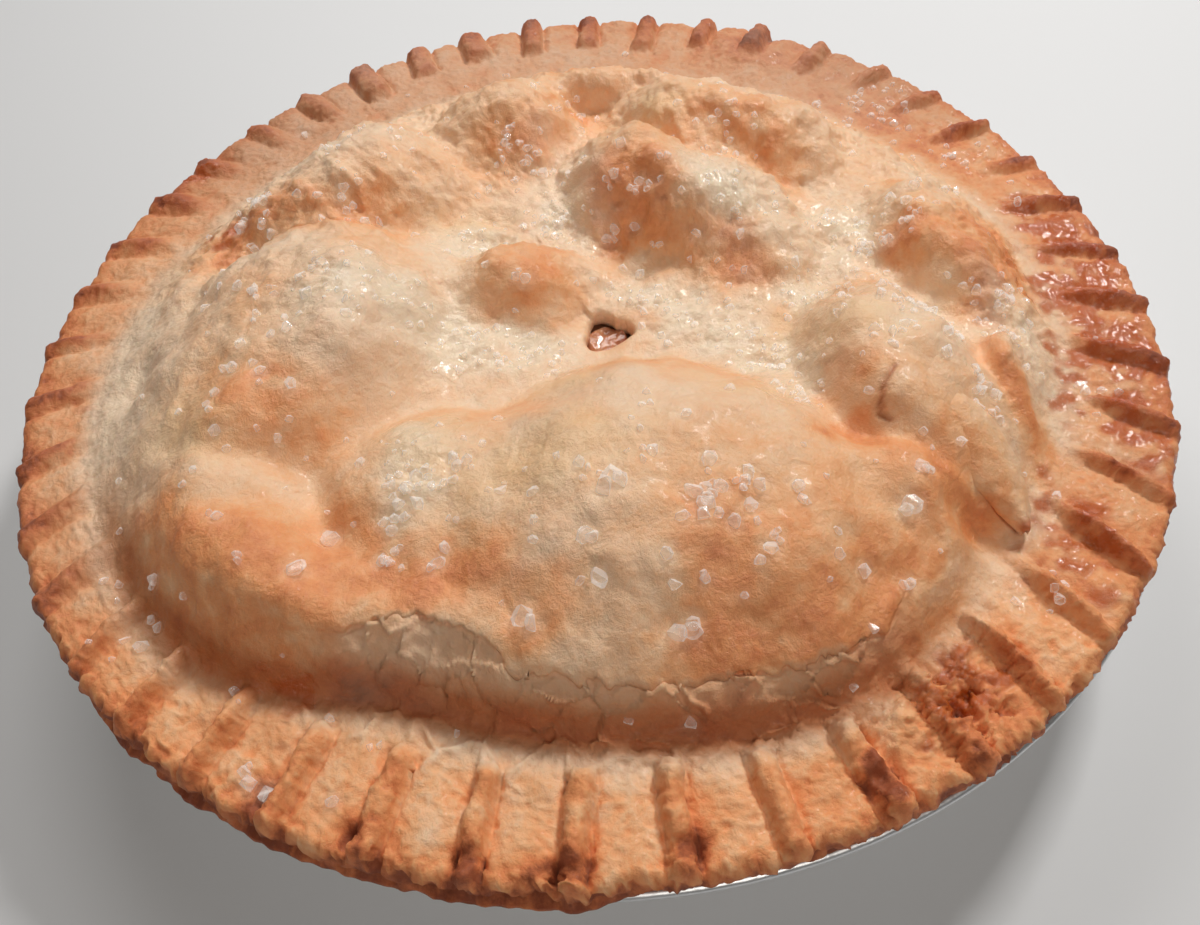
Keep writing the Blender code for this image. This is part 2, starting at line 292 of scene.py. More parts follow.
def domeHeight(x, y):
    r, angle = np.hypot(x, y), np.arctan2(y, x)
    warpedX = x + sum(far * ripple(x, y, size, layer) for size, far, layer, _ in dome["warp"])
    warpedY = y + sum(far * ripple(x, y, size, layer) for size, far, _, layer in dome["warp"])
    bed = dome["bedHeight"] - dome["bedDip"] * np.exp(-((r / dome["bedDipRadius"]) ** 2))
    fields = [bed] + [lumpHeight(lump, warpedX, warpedY) for lump in lumps.values()]
    inside = footRadius(angle) - r
    front, left = sector(angle, -98, 0.7, 1.2), sector(angle, -180, 0.3, 0.65)
    depth = dome["wallDepth"] + (dome["gentleDepth"] - dome["wallDepth"]) * (1 - front)
    wall = dome["wallHeight"] * (1 - np.exp(-inside / (depth + dome["leftDepth"] * left)))
    bumps = sum(height * ripple(x, y, size, layer) for size, height, layer in dome["bumps"])
    top = softMin([softMax(fields, dome["creaseBlend"]), wall], dome["wallBlend"])
    return top + bumps * np.clip(inside / dome["calmEdge"], 0, 1)


# the crimped rim

crimps = dict(
    count=44, phase=math.radians(3.44), seed=5, groove=0.9, pillow=0.8,
    heights=(3.7, 2.7, 2.9), widths=(2.1, 3.0, 3.0),        # at the front, the sides and the back
    startFront=93.5, startBack=99.0, slantRight=0.32, slantLeft=-0.28, bendRadius=103,
)
crimpDraw = np.random.RandomState(crimps["seed"])
crimpHeights = crimpDraw.uniform(0.75, 1.15, crimps["count"])
crimpWidths = crimpDraw.uniform(0.85, 1.2, crimps["count"])
crimpStarts = crimpDraw.uniform(-1.8, 1.8, crimps["count"])
crimpBends = crimpDraw.uniform(-0.07, 0.07, crimps["count"])
# places where something has happened to the crust: x, y, length, width, turn, height
dents = [
    (-88, -9, 7, 4.5, 70, -2.8), (-81, -13, 3, 6, 10, 0.8), (60.5, -60.5, 6, 3.6, -35, -4.0),
    (76, -37, 9, 2.4, -78, 1.6), (48, 90, 12, 8, -30, 2.6), (-76, 31, 6, 4, 60, -1.8),
    (36.7, -100.3, 2.0, 1.5, 20, -3.2), (35.4, -94.5, 5, 1.4, 70, -1.6),
    (41.0, -92.5, 5, 1.6, 66, 1.4), (53, -88, 2.4, 1.4, 30, -2.4), (49, -91, 1.8, 1.3, -20, -2.2),
    (57, -91, 1.6, 1.2, 0, -1.8), (-25, -107, 2.2, 1.8, 0, -1.9), (-11, -110, 2.4, 1.6, 0, -2.0),
    (7, -107.6, 2.4, 2.0, 0, -2.4), (-42, -101, 2.2, 1.6, 0, -1.8), (-56, -94, 2.0, 1.6, 0, -1.4),
    (3, 62, 1.6, 5, -20, -1.4),
]
broken = (51, -88, 12, 9, 30)        # the crimp at the right front that has crumbled
cracks = [
    dict(line=[(51.4, -36.9), (49.6, -39.3), (48.6, -41.5), (48.4, -43.2), (49.4, -45.1)],
         width=0.34, depth=0.7, dark=1.0),
    dict(line=[(-72, -38), (-77, -39.8), (-83, -39.4)], width=0.35, depth=0.35, dark=0.15),
    dict(line=[(-56, -34), (-61, -36.2), (-67, -37)], width=0.3, depth=0.25, dark=0.1),
]


def crimpShape(x, y):
    # height of the crimps, how far up a crimp each point is and how deep in a groove, from 0 to 1
    r, angle = np.hypot(x, y), np.arctan2(y, x)
    pitch = 2 * math.pi / crimps["count"]
    turn = (angle - crimps["phase"]) / pitch
    number = np.round(turn).astype(int)
    which = number % crimps["count"]
    slant = crimps["slantRight"] * smooth(np.cos(angle), 0.45, 0.9)
    slant = slant + crimps["slantLeft"] * smooth(-np.cos(angle), 0.4, 0.9)
    off = (turn - number) * pitch * r + (crimpBends[which] + slant) * (r - crimps["bendRadius"])
    off = off + 0.6 * grain((x, y, 0), 5.0, 6) + 0.3 * grain((x, y, 0), 2.0, 7)
    aside = smooth(np.abs(np.cos(angle)), 0.4, 0.8)
    toBack = smooth(np.sin(angle), -0.9, 0.9)
    start = crimps["startFront"] + (crimps["startBack"] - crimps["startFront"]) * toBack
    start = start + crimpStarts[which]
    along = smooth(r, start - 2 * aside, start + 3.0 + 6.0 * aside)
    halfWidth = crimpWidths[which] * bySide(angle, *crimps["widths"])
    halfWidth = halfWidth * (1 - 0.25 * smooth(np.cos(angle), 0.3, 0.8))
    halfWidth = halfWidth * (1 - 0.3 * aside * (1 - along))
    across = np.abs(off / halfWidth)
    boxy = np.clip(1 - across ** 2.2, 0, 1) ** 0.6 * (1 - smooth(across, 0.85, 1.15))
    ridge = boxy + aside * (np.exp(-1.8 * across ** 2.2) - boxy)
    ridge = ridge * (1 - 0.35 * aside * smooth(r, 107, 113))
    groove = np.exp(-(((across - 1.12) * halfWidth / 0.65) ** 2)) * (1 - 0.5 * aside)
    tall = crimpHeights[which] * bySide(angle, *crimps["heights"])
    middle = np.sin(np.pi * (turn - number)) ** 2        # 1 halfway between two crimps
    height = along * (tall * ridge - crimps["groove"] * groove)
    height = height + smooth(r, start - 3, start + 6) * crimps["pillow"] * (middle - 0.5)
    return height, along * ridge, along * groove


def dentRelief(x, y):
    shakenX, shakenY = wandered(x, y)
    height = spotSum(shakenX, shakenY, dents)
    for crack in cracks:
        height = height - crack["depth"] * lineShare(shakenX, shakenY, crack["line"], crack["width"])
    return height


def bakedHeight(x, y):
    # height of the crust over the flats of the rim, before the small relief
    r, angle = np.hypot(x, y), np.arctan2(y, x)
    rim = crimpShape(x, y)[0] * smooth(r, 70, 88) + 0.5 * ripple(x, y, 7.0, 2.2)
    sharp = sector(angle, -95, 0.6, 0.9)        # the foot of the dome is a sharp crease at the front
    blend = dome["sharpFoot"] + dome["softFoot"] * (1 - sharp) * (1 - smooth(r, 96, 102))
    return softMax([rim, domeHeight(x, y)], blend) + dentRelief(x, y)


def crustLevel(x, y):
    return pie["rimLevel"] + bakedHeight(x, y)


def tornShare(x, y):
    # 1 on the bare wall below the torn edge of the skin
    r, angle = np.hypot(x, y), np.arctan2(y, x)
    edge, foot = skinEdgeRadius(angle), footRadius(angle)
    onWall = smooth(r, edge - 0.1, edge + 0.3) * (1 - smooth(r, foot + 0.5, foot + 3.5))
    return tearShare(angle) * onWall


# relief that follows the surface, along its normals

relief = dict(
    # size, height, seed
    cobbles=[(9.0, 0.40, 21), (4.4, 0.42, 22), (1.8, 0.22, 23), (1.2, 0.12, 24)],
    puckers=[(2.3, 0.65, 25), (8.5, 1.3, 26)],
    wet=[(2.1, 1.0, 45), (1.05, 0.5, 46)],
    wall=[(7.0, 0.9, 35)], wallPebbles=[(3.4, 0.9, 36), (1.5, 0.4, 47)],
    rim=[(5.0, 0.4, 39)], crumb=[(1.9, 0.60, 37), (1.1, 0.45, 38)],
    crumbSides=(1.0, 0.65, 0.8),        # at the front, the sides and the back
    smoothFront=0.40,                   # share of the cobbles left on the satin front lumps
    smoothLeft=(-90, 0, 16, 42, 0), roughBack=(-66, 38, 26, 18, 0),
    wallLumps=6.5, wallHeight=1.1, flakeStep=0.5, wetHeight=0.85, backSkin=1.3, shake=1.6,
)


def sugarySlope(x, y):
    # how cobbled the skin is: strong at the back, slight on the front lumps
    back = smooth(y + 0.25 * np.abs(x), -30, 20)
    slope = relief["smoothFront"] + (1 - relief["smoothFront"]) * back
    slope = slope + 0.3 * patch(x, y, relief["roughBack"])
    return slope * (1 - 0.65 * patch(x, y, relief["smoothLeft"]))


def surfaceRelief(place):
    # height along the normals, and the crumb's share of it
    x, y, z = place
    r, angle = np.hypot(x, y), np.arctan2(y, x)
    foot, torn = footRadius(angle), tornShare(x, y)
    onRim = smooth(r, foot + 0.5, foot + 4)
    ventX, ventY = vent["centre"]
    skin = (1 - torn) * (1 - onRim) * (0.25 + 0.75 * smooth(np.hypot(x - ventX, y - ventY), 5, 10))
    cobbles = layered(place, relief["cobbles"]) + layeredPebbles(place, relief["puckers"])
    strong = 1 + (relief["backSkin"] - 1) * smooth(y, -20, 20)
    total = skin * sugarySlope(x, y) * strong * cobbles
    wet = np.clip(spotSum(x, y, sugaredSpots), 0, 1)
    wetBumps = layeredPebbles(place, relief["wet"])
    total = total + skin * wet * relief["wetHeight"] * wetBumps
    shaken = [axis + relief["shake"] * grain(place, 4.0, 31 + k) for k, axis in enumerate(place)]
    inside, own = cells(shaken, relief["wallLumps"], 34)
    split = smooth(grain(place, 12.0, 48), -0.5, 0.1)        # where the wall is cracked at all
    wall = relief["wallHeight"] * (smooth(inside, 0.0, 0.22) - 0.9) * split
    wall = wall + relief["flakeStep"] * own
    wall = wall + layered(place, relief["wall"]) + layeredPebbles(place, relief["wallPebbles"])
    total = total + torn * wall
    coarse = bySide(angle, *relief["crumbSides"]) + 0.6 * patch(x, y, broken)
    crumb = layeredPebbles(place, relief["crumb"]) + layered(place, relief["rim"])
    hollows = 1.2 * (cells(shaken, 2.0, 40)[0] ** 0.6 - 0.7) + 1.3 * grain(place, 5.0, 41)
    crumbled = patch(x, y, broken) * hollows
    edge = smooth(r, 108.5, 111.5) * bySide(angle, 1.0, 0.3, 0.15)
    edgeCells = cells(shaken, 2.6, 42)[0] ** 0.6 - 0.6
    crumb = crumb + edge * (0.65 * edgeCells + 0.5 * grain(place, 2.2, 43))
    doughBlobs = smooth(-y, 55, 80) * smooth(r, foot + 0.5, foot + 2) * (1 - smooth(r, 95, 99))
    crumb = crumb + doughBlobs * 0.8 * (smooth(cells(shaken, 8.0, 44)[0], 0, 0.5) - 0.7)
    wetRim = np.clip(spotSum(x, y, syrupSpots), 0, 1)
    rimRelief = coarse * crumb * (1 - 0.5 * wetRim) + crumbled + 0.45 * wetRim * wetBumps
    return total + onRim * rimRelief, crumb


# ring mesh

def evenAngles(count):
    return np.arange(count) * 2 * math.pi / count


def ringPlan(radius, angles):
    near = np.clip(1 - (np.asarray(radius) / vent["reach"]) ** 2, 0, 1) ** 2
    return (radius * np.cos(angles) + near * vent["centre"][0],
            radius * np.sin(angles) + near * vent["centre"][1])


def ring(radius, level, angles):
    # level is a height, or a function that gives the height at (x, y)
    x, y = ringPlan(radius, angles)
    z = level(x, y) if callable(level) else level
    return np.stack(np.broadcast_arrays(x, y, z), axis=-1).astype(float)


def stitch(rings, closeStart=True):
    # one skin through the rings in order; a ring may have half or twice the points of the next
    points, faces, starts = [], [], []
    count = 0
    for row in rings:
        starts.append(count)
        points.append(row)
        count += len(row)
    for k in range(len(rings) - 1):
        a, b, n, m = starts[k], starts[k + 1], len(rings[k]), len(rings[k + 1])
        if n == m:
            faces += [(a + i, a + (i + 1) % n, b + (i + 1) % n, b + i) for i in range(n)]
        elif m == 2 * n:
            for i in range(n):
                j = (i + 1) % n
                faces += [(a + i, b + 2 * i + 1, b + 2 * i), (a + i, a + j, b + 2 * i + 1)]
                faces.append((a + j, b + (2 * i + 2) % m, b + 2 * i + 1))
        else:
            for i in range(m):
                j = (i + 1) % m
                faces += [(b + i, a + 2 * i, a + 2 * i + 1), (b + i, a + 2 * i + 1, b + j)]
                faces.append((b + j, a + 2 * i + 1, a + (2 * i + 2) % n))
    if closeStart:
        points.append(rings[0].mean(axis=0, keepdims=True))
        faces += [(count, (i + 1) % len(rings[0]), i) for i in range(len(rings[0]))]
        count += 1
    last, n = starts[-1], len(rings[-1])
    points.append(rings[-1].mean(axis=0, keepdims=True))
    faces += [(count, last + i, last + (i + 1) % n) for i in range(n)]
    return np.concatenate(points), faces


def movedProfile(profile, distance):
    # the (radius, level) line moved that far to its left
    line = np.array(profile, float)
    steps = np.diff(line, axis=0)
    steps /= np.linalg.norm(steps, axis=1, keepdims=True)
    before = np.vstack([[1.0, 0.0], steps])
    after = np.vstack([steps, steps[-1:]])
    along = before + after
    along /= np.linalg.norm(along, axis=1, keepdims=True)
    reach = distance / np.maximum((along * after).sum(axis=1), 0.5)
    return np.stack([line[:, 0] - along[:, 1] * reach, line[:, 1] + along[:, 0] * reach], axis=1)


# materials

def newMaterial(name, roughness=0.5, metallic=0.0):
    material = bpy.data.materials.new(name)
    material.use_nodes = True
    shader = material.node_tree.nodes["Principled BSDF"]
    shader.inputs["Roughness"].default_value = roughness
    shader.inputs["Metallic"].default_value = metallic
    return material, material.node_tree, shader


def setOrLink(tree, socket, value):
    if isinstance(value, bpy.types.NodeSocket):
        tree.links.new(value, socket)
    else:
        socket.default_value = (*value, 1) if isinstance(value, tuple) else value


def noiseNode(tree, place, scale, detail, rough, distort):
    node = tree.nodes.new("ShaderNodeTexNoise")
    node.inputs["Scale"].default_value = scale
    node.inputs["Detail"].default_value = detail
    node.inputs["Roughness"].default_value = rough
    node.inputs["Distortion"].default_value = distort
    tree.links.new(place, node.inputs["Vector"])
    return node.outputs["Fac"]


def rampNode(tree, source, stops):
    node = tree.nodes.new("ShaderNodeValToRGB")
    ramp = node.color_ramp
    while len(ramp.elements) < len(stops):
        ramp.elements.new(0.5)
    for element, (position, colour) in zip(ramp.elements, stops):
        element.position = position
        element.color = (*colour, 1)
    tree.links.new(source, node.inputs["Fac"])
    return node.outputs["Color"]


def mathNode(tree, operation, *values):
    node = tree.nodes.new("ShaderNodeMath")
    node.operation = operation
    for socket, value in zip(node.inputs, values):
        setOrLink(tree, socket, value)
    return node.outputs[0]


def mixNode(tree, share, first, second, blend="MIX"):
    # share of the second colour laid over the first
    node = tree.nodes.new("ShaderNodeMix")
    node.data_type = "RGBA"
    node.blend_type = blend
    setOrLink(tree, node.inputs["Factor"], share)
    setOrLink(tree, node.inputs[6], first)
    setOrLink(tree, node.inputs[7], second)
    return node.outputs[2]


def maskNode(tree, name):
    node = tree.nodes.new("ShaderNodeAttribute")
    node.attribute_name = name
    return node.outputs["Fac"]


def placeNode(tree):
    return tree.nodes.new("ShaderNodeTexCoord").outputs["Object"]


def bumpNode(tree, height, strength, distance, normal=None):
    node = tree.nodes.new("ShaderNodeBump")
    node.inputs["Strength"].default_value = strength
    node.inputs["Distance"].default_value = distance
    tree.links.new(height, node.inputs["Height"])
    if normal is not None:
        tree.links.new(normal, node.inputs["Normal"])
    return node.outputs["Normal"]


# crust

crust = dict(
    outerCount=1280,            # points round the rim and the torn edge
    # from and to which share of the skin edge's radius, and in how many rows
    bands=[(0.085, 0.26, 19), (0.26, 0.54, 32), (0.54, 0.93, 46)],
    skinRows=11, wallRows=25, rimRows=52,
    rimEnd=111.6, retreat=0.6,  # the crust stops short of the foil at the right front
    lip=1.5,                    # ragged lower edge that stands out at the left front
    # rows round the edge of the rim: how far out and down, and the share of the crimps
    edge=[(0.7, 0.35, 0.95), (1.2, 1.0, 0.75), (1.6, 1.9, 0.45), (1.75, 2.9, 0.2), (1.5, 3.7, 0.05)],
    bakeAndShade=[(0.0, (0.95, 0.71, 0.50)), (0.2, (0.95, 0.61, 0.375)), (0.4, (0.94, 0.50, 0.25)),
          (0.6, (0.90, 0.37, 0.145)), (0.8, (0.74, 0.23, 0.078)), (1.0, (0.36, 0.09, 0.03))],
    # colours laid over the bake in this order, and how strongly
    tints=dict(
        buttery=((0.94, 0.63, 0.33), 0.5),
        floury=((0.83, 0.50, 0.30), 0.65),
        # pale dough, partly painted light on shaded slopes
        paleAndLit=((0.97, 0.78, 0.59), 1.0),
        sugared=((0.94, 0.78, 0.58), 0.65),
        paintedShade=((0.66, 0.52, 0.45), 1.0),     # multiplied painted shade on rims that face away from the lamps, and in creases
        syrup=((0.50, 0.088, 0.008), 0.8),
        split=((0.50, 0.16, 0.05), 1.0),
    ),
    mottle=0.42, speckle=0.30,
    roughness=0.30, dry=0.42, sugarGloss=0.18, syrupGloss=0.8,
    coat=0.05, sugarCoat=0.25, syrupCoat=0.22, coatRoughness=0.10,
    glow=0.12, glowRadius=(1.0, 0.40, 0.18), glowScale=0.003,
)

# brown patches: x, y, length, width, turn, strength. The band at (32, -79) along the lower edge of the
# front lump is partly browning and partly painted shade under the torn edge, and the negative spot at
# (-92, -14) is painted light on the shaded left flank
browned = [
    (11, 22, 13, 9, -50, 0.62), (32, 5, 9, 6, -30, 0.60), (24, 12, 8, 5, -30, 0.05),
    (-10, 4, 13, 6, -5, 0.35), (-12, -2, 8, 3, 0, 0.25), (43, 34, 10, 6, -25, 0.32),
    (37, 43, 16, 9, -20, 0.14), (64, 4, 7, 6, 0, 0.55), (87, 3, 5, 14, 5, 0.60),
    (78, -12, 5, 9, 10, 0.45), (74, -2, 10, 10, 0, 0.15), (42, -33, 6, 6, 0, 0.30),
    (41.5, -46, 6, 4, 0, 0.50), (50, -53, 8, 5, -20, 0.28), (50, -38, 10, 10, 0, 0.18),
    (63, -53, 9, 7, -50, 0.32), (75.5, -37, 3.5, 14, 10, 0.50), (61, -59, 5, 4, -30, 0.55),
    (-58, -64, 25, 11, -35, 0.50), (-80, -50, 9, 6, -50, 0.25), (-75, -39, 8, 4, -30, 0.10),
    (-38, -62, 10, 8, -20, 0.30), (-57, -28, 15, 11, -10, 0.36), (-55.5, -22.3, 3.2, 1.4, 0, 0.50),
    (-66, -8, 12, 16, 0, 0.12), (-29, -66, 8, 6, -20, 0.32), (-22, -64, 9, 5, 0, 0.22),
    (-16, -69, 13, 5, 5, 0.26), (-13, -77, 6, 4, 0, 0.32), (-4, -76, 12, 6, 0, 0.08),
    (32, -79, 26, 5, 16, 0.38), (14, -82, 10, 4, 0, 0.36), (49, -65, 11, 5, 48, 0.36),
    (11, -8, 6, 5, 0, 0.30), (33, 48, 14, 9, -20, 0.12), (-4, 50, 6, 8, 0, 0.22),
    (-6, 22, 9, 5, -10, 0.18), (38, -13, 4, 9, 0, 0.25), (-72, 30, 12, 7, 20, 0.35),
    (-42, -52, 14, 9, -30, 0.20), (12, -77, 8, 4, 0, 0.16), (26, -83, 14, 3, 10, 0.16),
    (18, -73, 9, 4, 0, 0.22), (32, -66, 20, 12, 20, 0.26), (14, -65, 8, 9, 0, 0.24),
    (-68, -48, 14, 5, -20, 0.16), (44, -76, 10, 4, 35, 0.18), (-92, -14, 8, 26, 8, -0.16),
    (82, -2, 3, 12, 8, 0.22), (-12, 45, 10, 8, 0, 0.42), (3, 59, 6, 5, 0, 0.38),
    (8, 70, 22, 8, 0, 0.14), (-49, 29, 20, 4, -5, 0.26), (-52, 38, 24, 12, 0, 0.10),
    (-76, 27, 5, 7, 0, 0.40), (77, -5, 6, 12, 10, 0.30), (70, 56, 18, 12, 130, 0.24),
    (86, 40, 14, 9, 115, 0.26), (48, 90, 13, 8, -30, 0.42),
]
# pale yellow places where the crust is thin over the fruit
butterySpots = [
    (-10, -50, 17, 8, 5), (-30, -38, 7, 9, 0), (25, -35, 9, 4, -15), (38, -14, 4, 9, 0),
    (-24, 26, 8, 5, 0), (-74, -30, 10, 6, -30), (50, -24, 8, 5, -30), (-4, -26, 7, 5, 0),
    (20, 50, 8, 5, 0),
]
# pinkish cream places: dough that took no colour, and painted light on slopes that lie in shade, such
# as the left flank and the top of the torn wall
paleAndLitSpots = [
    (-90, -8, 13, 34, 0, 0.25), (-84, -40, 7, 14, -25, 0.2), (-34, -77, 13, 5, 15, 0.3),
    (10, -36, 20, 9, -10, 0.4), (-32, -4, 16, 9, -20, 0.6), (33, 20, 10, 6, -40, 0.3),
    (54, -24, 8, 7, 0, 0.2), (-62, 12, 14, 12, 0, 0.4), (-3, 30, 9, 14, 20, 0.5),
    (66, -20, 9, 9, 0, 0.35), (-8, -66, 9, 4, 15, 0.35), (0, 44, 5, 10, 20, 0.4),
    (-46, -15, 11, 9, 0, 0.5), (3, -71, 11, 4, 22, 0.12), (-6, -56, 10, 7, 0, 0.12),
    (28, 21, 7, 5, -30, 0.4), (-20, 98, 60, 12, 0, 0.25), (62, 75, 25, 25, 0, 0.3),
    (-62, 82, 30, 14, 40, 0.2), (30, 66, 14, 5, -15, 0.35), (-58, 46, 22, 10, 5, 0.5),
]
# wet white sugar and glaze; the tall spot at (-31, -44) also paints the light streak of a highlight
# that runs down the slope there, a painted highlight
sugaredSpots = [
    (-34, -6, 14, 8, -25), (-22, -9, 13, 7, -20), (-12, -13, 10, 5, -20), (-45, -2, 10, 8, 0),
    (-31, -44, 7, 13, 0), (12, -1, 9, 6, -30), (23, -9, 13, 8, -35), (33, -22, 12, 7, -50),
    (43, -8, 12, 7, -30), (38, -32, 6, 8, -40), (57, 6, 6, 8, 0), (64, -20, 6, 8, -40),
    (54, 15, 10, 6, -20), (79, -19, 6, 9, 10), (-2, 24, 7, 10, 20), (32, 16, 12, 7, -35),
    (-20, 20, 10, 7, 0),
]
# glossy red-amber syrup that boiled over the rim
syrupSpots = [
    (98, 16, 5, 11, 10, 1.0), (105, 1, 6, 14, 0, 1.0), (97, -6, 6, 12, 0, 0.9),
    (101, -21, 9, 15, 12, 1.0), (94, -42, 8, 14, 24, 1.0), (92, -28, 5, 10, 15, 0.8),
    (104, 12, 5, 8, 0, 0.9), (78, -56, 6, 8, 30, 0.8), (80, -68, 9, 10, 40, 0.9),
    (70, -69, 7, 6, 40, 0.8), (54, -83, 7, 5, 30, 0.8), (45, -92, 5, 3, 70, 0.9),
    (52, -88, 6, 4, 30, 0.7), (-79, 33, 6, 6, 0, 1.0), (-90, 61, 7, 5, 0, 1.0),
    (-51, -77, 3, 5, 60, 0.7), (-52, -85, 5, 3, 60, 0.5), (-100, -12, 5, 3, 0, 0.4),
    (-103, -33, 5, 3, 20, 0.5), (88, 3, 3, 12, 5, 0.5), (76, -37, 2.5, 12, 10, 0.4),
]
burntSpots = [
    (-24.7, -106.3, 3, 3, 0), (-10.7, -109.5, 4, 2.5, 0), (7.3, -107.4, 3, 3, 0),
    (37.2, -99.6, 4, 3, 0), (-42.4, -101.1, 3, 3, 0), (-56.5, -93.8, 3, 3, 0),
]


# strengths for the bake mask, which also holds painted shade in the crease, on the lower torn wall and
# on the near sides of the lumps
bakingAndShade = dict(
    least=0.10, rise=0.16, nearSideBrowningAndShade=0.30, crumb=0.30, underEdge=0.25, crease=0.22, low=0.38,
    broken=0.3, burnt=0.5, most=0.70, moreOnRim=0.5, mostBlend=0.07,
    # at the front, the sides and the back
    flats=(0.34, 0.37, 0.22), crimps=(0.14, 0.36, 0.34), grooves=(0.08, 0.10, 0.1),
    edge=(0.18, 0.30, 0.18),
    # size, strength, seed
    blotches=[(15.0, 0.12, 51), (6.0, 0.10, 52)], rimBlotches=[(4.0, 0.12, 57)],
    patchBlotches=[(5.0, 0.42, 58), (2.4, 0.38, 59)],
    shakeX=[(10.0, 4, 53), (3.0, 1.6, 54)], shakeY=[(10.0, 4, 55), (3.0, 1.6, 56)],
)
# painted shade multiplied into the colour: how strongly on the far rim, the side rims and their crimps,
# the crease at the foot of the dome, the lower torn wall and below the edge
paintedShade = dict(far=0.95, aside=0.42, asideCrimp=0.3, crease=0.85, lower=0.75, edge=0.6)


def bakeAndShadeMask(place, crumb, normals):
    # how far each point is baked, from 0 for pale dough to 1 for burnt; painted shade is added in the
    # crease at the foot of the dome, on the lower torn wall and on slopes that face away from the main
    # lamps, and points below the level of the flats are darker
    x, y, z = place
    r, angle = np.hypot(x, y), np.arctan2(y, x)
    foot = footRadius(angle)
    onRim = smooth(r, foot + 3, foot + 9)
    rise = np.clip((z - pie["rimLevel"]) / 22, 0, 1)
    bakeAndShade = bakingAndShade["least"] + bakingAndShade["rise"] * rise + layered(place, bakingAndShade["blotches"])
    wobbleX, wobbleY = x + layered(place, bakingAndShade["shakeX"]), y + layered(place, bakingAndShade["shakeY"])
    browning = spotSum(wobbleX, wobbleY, browned)
    bakeAndShade = bakeAndShade + browning * (1 + layered(place, bakingAndShade["patchBlotches"]))
    nearSideBrowningAndShade = smooth(-normals[:, 1], 0.25, 0.8) * smooth(y, -58, -30)
    bakeAndShade = bakeAndShade + bakingAndShade["nearSideBrowningAndShade"] * nearSideBrowningAndShade * (1 - onRim)       # near sides of the lumps at the back, which face the front, away from the main lamps: partly browning, partly painted shade
    _, crimp, groove = crimpShape(x, y)
    ownBake = bySide(angle, *bakingAndShade["flats"]) + bySide(angle, *bakingAndShade["crimps"]) * crimp
    ownBake = ownBake + bySide(angle, *bakingAndShade["grooves"]) * groove
    bakeAndShade = bakeAndShade + onRim * (ownBake + bakingAndShade["crumb"] * crumb + layered(place, bakingAndShade["rimBlotches"]))
    bakeAndShade = bakeAndShade + bySide(angle, *bakingAndShade["edge"]) * smooth(r, 106.5, 112)
    bakeAndShade = bakeAndShade + bakingAndShade["underEdge"] * smooth(pie["rimLevel"] - z, 0.3, 2.5)
    bakeAndShade = softMin([bakeAndShade, bakingAndShade["most"] + bakingAndShade["moreOnRim"] * onRim], bakingAndShade["mostBlend"])
    # darker along the crease at the foot of the dome at the front, partly browning and partly painted
    # shade; darker on the lower part of the torn wall as painted shade
    crease = smooth(-y, 20, 50) * np.exp(-(((r - foot) / 2.0) ** 2)) * (1 - 0.6 * smooth(x, 30, 60))
    low = tornShare(x, y) * smooth(r, foot - 5, foot - 1) * (1 - smooth(x, 15, 50))
    bakeAndShade = bakeAndShade + bakingAndShade["crease"] * crease + bakingAndShade["low"] * low
    bakeAndShade = bakeAndShade + bakingAndShade["broken"] * patch(wobbleX, wobbleY, broken)
    return bakeAndShade + bakingAndShade["burnt"] * spotSum(wobbleX, wobbleY, burntSpots)


def paintedShadeMask(place):
    # painted shade: the far and left rim, the creases at the foot of the dome, the lower torn wall, and
    # the outer edge at the front
    x, y, z = place
    r, angle = np.hypot(x, y), np.arctan2(y, x)
    foot = footRadius(angle)
    onRim = smooth(r, foot + 1, foot + 6)
    crimp = crimpShape(x, y)[1]
    aside = smooth(np.abs(x), 40, 90) * (1 - smooth(-y, 50, 85))
    away = paintedShade["far"] * smooth(y, 30, 80) + (paintedShade["aside"] + paintedShade["asideCrimp"] * crimp) * aside
    crease = sector(angle, -115, 0.6, 0.95) * np.exp(-(((r - foot - 0.3) / 2.6) ** 2))
    lower = sector(angle, -105, 0.7, 1.05) * smooth(r, foot - 5.5, foot - 1.0) * (1 - onRim)
    edge = smooth(pie["rimLevel"] - z, 0.5, 3.0)
    shade = onRim * away * (0.8 + 0.4 * crimp) + paintedShade["edge"] * edge
    return shade + paintedShade["crease"] * crease + paintedShade["lower"] * lower


def crustAngles():
    # four sets, each with half as many points as the one before
    return [evenAngles(crust["outerCount"] // share) for share in (1, 2, 4, 8)]


def domeRings():
    outer, middle, inner, centre = crustAngles()
    rings = []
    hole = vent["radius"] + 0.9 * np.cos(3 * centre + 0.6)
    hole = hole + 0.5 * grain(circle(centre, vent["radius"]), 1.6, 61)
    for wider, lower in vent["wall"]:
        rings.append(ring(hole + wider, lambda x, y: crustLevel(x, y) - lower, centre))
    for (start, end, rows), angles in zip(crust["bands"], (centre, inner, middle)):
        edge = skinEdgeRadius(angles)
        for share in np.linspace(start, end, rows, endpoint=False):
            rings.append(ring(edge * share, crustLevel, angles))
    edge, foot, torn = skinEdgeRadius(outer), footRadius(outer), tearShare(outer)
    step = tear["step"] * torn * (1 + 0.4 * grain(circle(outer, tear["radius"]), 4.0, 62))
    for share in np.linspace(end, 1, crust["skinRows"], endpoint=False):
        raised = step * smooth(share, 0.9, 0.99)
        rings.append(ring(edge * share, lambda x, y: crustLevel(x, y) + raised, outer))
    for row, (reach, lift, sink) in enumerate(tear["lip"]):
        radius = edge + torn * reach + (1 - torn) * (row * 0.2)
        raised = lift * step - sink * torn
        rings.append(ring(radius, lambda x, y: crustLevel(x, y) + raised, outer))
    for share in np.linspace(0, 1, crust["wallRows"]):
        rings.append(ring(edge + 0.7 + (foot + 1.0 - edge) * share, crustLevel, outer))
    return rings


